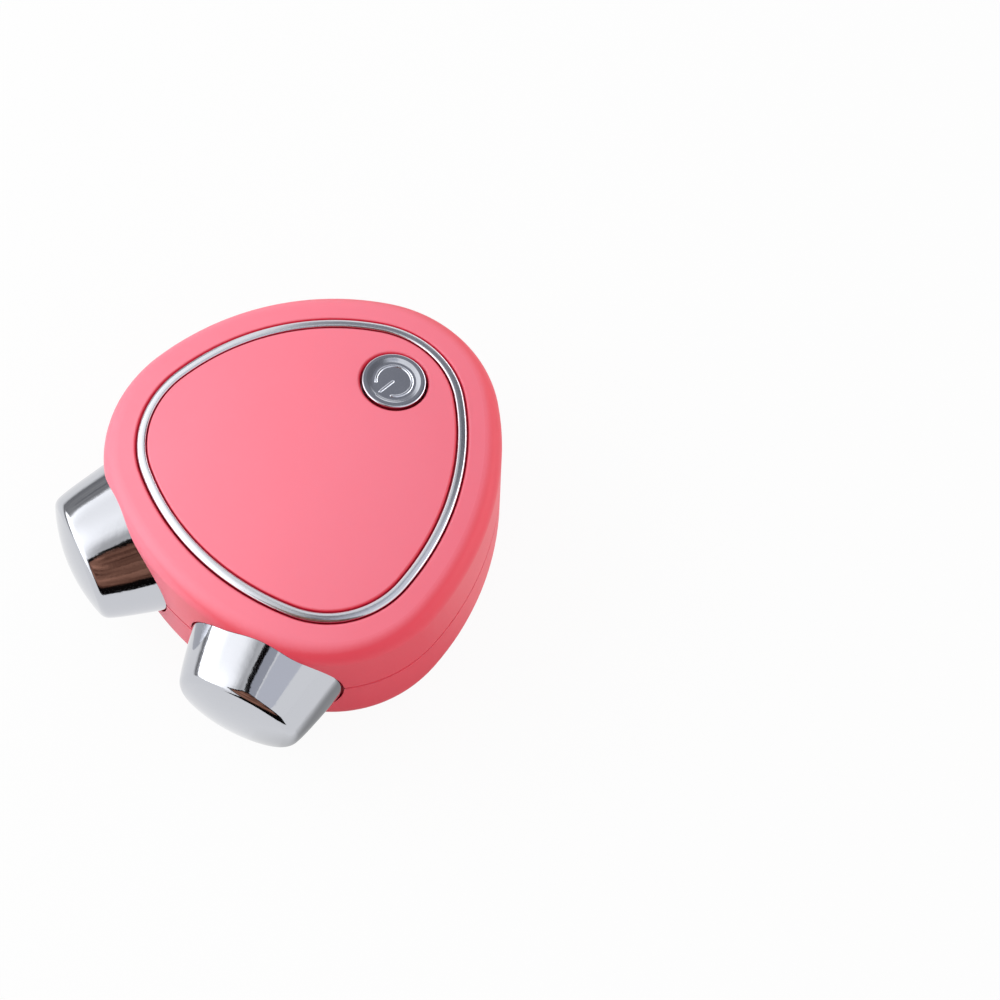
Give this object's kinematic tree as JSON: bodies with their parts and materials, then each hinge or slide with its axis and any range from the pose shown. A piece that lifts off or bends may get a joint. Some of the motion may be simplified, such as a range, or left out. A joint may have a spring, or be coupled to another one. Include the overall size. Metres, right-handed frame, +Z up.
{
  "type": "facial massager",
  "caption": "Hand-held facial massager: domed rounded-triangle pebble with a metal trim ring, a round power button and splayed tapered chrome rollers.",
  "frame": {"origin": "on the table under the middle of the rounded-triangle outline, at the flat base", "axes": "+Z up through the domed face, +Y from the rollers to the tail corner with the charging socket, X across the mirror plane"},
  "size_m": [0.0612, 0.0685, 0.0319],
  "materials": {
    "shell_plastic": "soft-touch painted moulding, coral pink",
    "panel_plastic": "soft-touch painted moulding, coral pink",
    "trim_metal": "brushed along its length, bright bevels",
    "button_metal": "spun on a lathe, bright rim",
    "roller_chrome": "mirror plated, satin ends",
    "axle_steel": "ground",
    "screw_steel": "zinc plated",
    "bush_plastic": "natural acetal",
    "contact_brass": "rolled strip",
    "board_laminate": "green solder mask",
    "black_plastic": "moulded",
    "white_plastic": "moulded",
    "ferrite": "sintered",
    "capacitor_body": "fired ceramic",
    "socket_steel": "nickel plated sheet",
    "battery_foil": "laminated pouch",
    "foam_tape": "closed-cell foam",
    "red_insulation": "extruded",
    "black_insulation": "extruded"
  },
  "bodies": {
    "casing": {"upper_shell": "shell_plastic", "lower_shell": "shell_plastic", "face_panel": "panel_plastic", "trim_ring": "trim_metal", "switch_body": "black_plastic", "main_board": "board_laminate", "controller_chip": "black_plastic", "charging_chip": "black_plastic", "boost_coil": "ferrite", "chip_capacitors": "capacitor_body", "battery_connector": "white_plastic", "charge_socket_shell": "socket_steel", "charge_socket_tongue": "black_plastic", "battery": "battery_foil", "battery_tape": "foam_tape", "battery_red_lead": "red_insulation", "battery_black_lead": "black_insulation", "case_screws": "screw_steel", "board_screws": "screw_steel", "left_front_bush": "bush_plastic", "left_rear_bush": "bush_plastic", "left_thrust_washer": "bush_plastic", "left_contact_spring": "contact_brass", "right_front_bush": "bush_plastic", "right_rear_bush": "bush_plastic", "right_thrust_washer": "bush_plastic", "right_contact_spring": "contact_brass"},
    "left_roller_set": {"left_roller": "roller_chrome", "left_axle": "axle_steel", "left_retaining_clip": "axle_steel"},
    "right_roller_set": {"right_roller": "roller_chrome", "right_axle": "axle_steel", "right_retaining_clip": "axle_steel"},
    "button_set": {"power_button": "button_metal", "switch_plunger": "white_plastic"}
  },
  "joints": [
    {"name": "left_roller_spin", "type": "hinge", "parent": "casing", "child": "left_roller_set", "pos_m": [-0.01768, -0.03279, 0.0143], "axis": [-0.3387, -0.9409, 0], "continuous": true},
    {"name": "right_roller_spin", "type": "hinge", "parent": "casing", "child": "right_roller_set", "pos_m": [0.01768, -0.03279, 0.0143], "axis": [0.3387, -0.9409, 0], "continuous": true},
    {"name": "button_press", "type": "slide", "parent": "casing", "child": "button_set", "axis": [0, 0, -1], "range_m": [0, 0.0005], "stiffness_N_per_m": 900}
  ]
}
